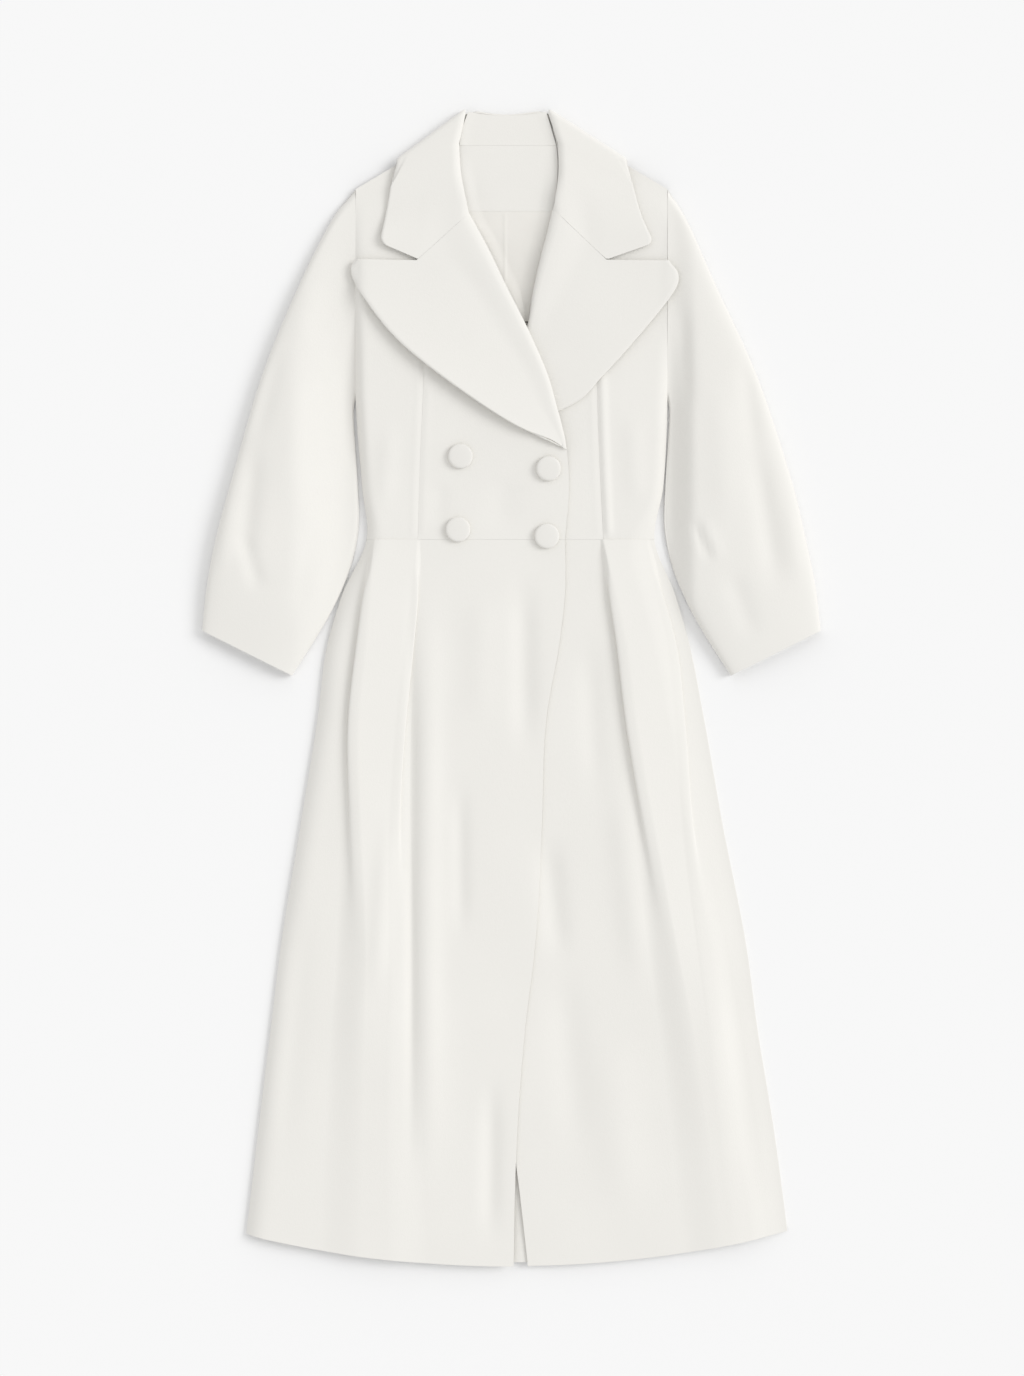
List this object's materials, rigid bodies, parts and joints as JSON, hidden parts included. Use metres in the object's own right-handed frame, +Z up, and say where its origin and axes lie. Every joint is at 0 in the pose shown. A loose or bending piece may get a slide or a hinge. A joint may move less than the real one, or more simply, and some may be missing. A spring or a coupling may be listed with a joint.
{
  "type": "double-breasted coat laid flat",
  "caption": "Long ivory wool double-breasted coat with wide peaked lapels, full sleeves and a flared box-pleated skirt, lying flat on its back.",
  "frame": {"origin": "middle of the coat's outline, on the surface that it lies on", "axes": "+Y from the hem to the collar, +X to the wearer's left, +Z up from the surface through the coat's front"},
  "size_m": [0.7536, 1.4083, 0.0351],
  "materials": {
    "ivory_wool": "felted wool with a short soft nap",
    "ivory_lining": "smooth satin lining",
    "covered_button": "wool stretched over a domed button"
  },
  "bodies": {
    "root": {"back_bodice": "ivory_wool", "back_skirt": "ivory_wool", "right_front_bodice": "ivory_wool", "left_front_bodice": "ivory_wool", "right_side_front_bodice": "ivory_wool", "left_side_front_bodice": "ivory_wool", "right_front_skirt": "ivory_wool", "left_front_skirt": "ivory_wool", "right_sleeve": "ivory_wool", "left_sleeve": "ivory_wool", "right_lapel": "ivory_wool", "left_lapel": "ivory_wool", "collar": "ivory_wool", "collar_stand": "ivory_wool", "back_neck_facing": "ivory_wool", "back_lining": "ivory_lining", "button_upper_right": "covered_button", "button_upper_left": "covered_button", "button_lower_right": "covered_button", "button_lower_left": "covered_button"}
  },
  "joints": []
}
